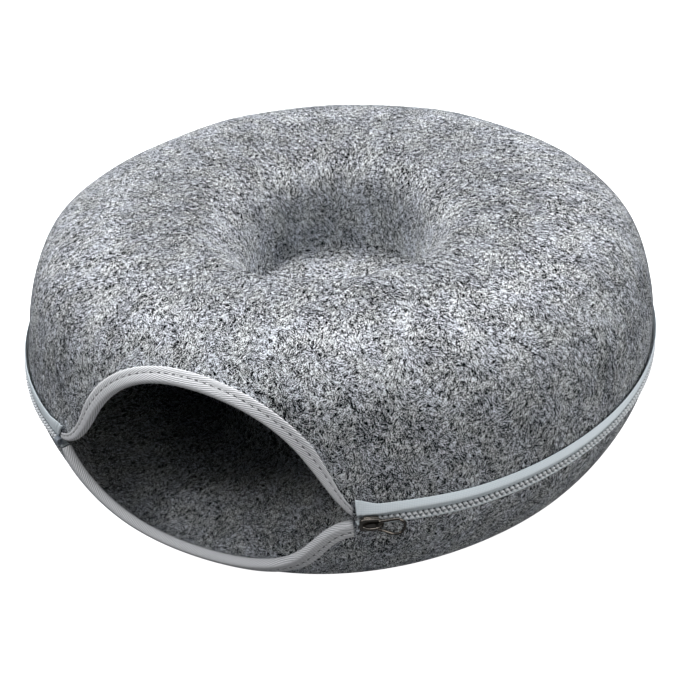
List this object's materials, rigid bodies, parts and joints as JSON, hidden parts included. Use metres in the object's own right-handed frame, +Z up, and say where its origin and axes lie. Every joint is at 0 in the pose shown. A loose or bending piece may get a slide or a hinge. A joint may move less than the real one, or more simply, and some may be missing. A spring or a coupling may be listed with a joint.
{
  "type": "donut cat tunnel",
  "caption": "Round moulded felt cat tunnel with a sunken middle, an arched mouth bound in twill tape, and a zip round the rim that parts the upper half from the lower.",
  "frame": {"origin": "on the floor under the middle of the whole; the ring's axis stands 7 mm in front of it", "axes": "+Z up along the ring's axis, -Y out of the mouth, +X to the right of someone who faces the mouth"},
  "size_m": [0.5012, 0.4848, 0.178],
  "materials": {
    "felt": "needled grey felt with mottled short fibres",
    "twill": "light grey twill tape",
    "zip_cloth": "pale blue-grey woven zip tape",
    "zip_teeth": "moulded pale grey acetal",
    "dark_metal": "black nickel plating",
    "zip_stop": "dark grey moulded plastic"
  },
  "bodies": {
    "root": {"upper_shell": "felt", "lower_shell": "felt", "binding_upper": "twill", "binding_lower": "twill", "zip_tape_upper": "zip_cloth", "zip_tape_lower": "zip_cloth", "zip_chain": "zip_teeth", "zip_slider": "dark_metal", "zip_pull": "dark_metal", "zip_stop": "zip_stop"}
  },
  "joints": []
}
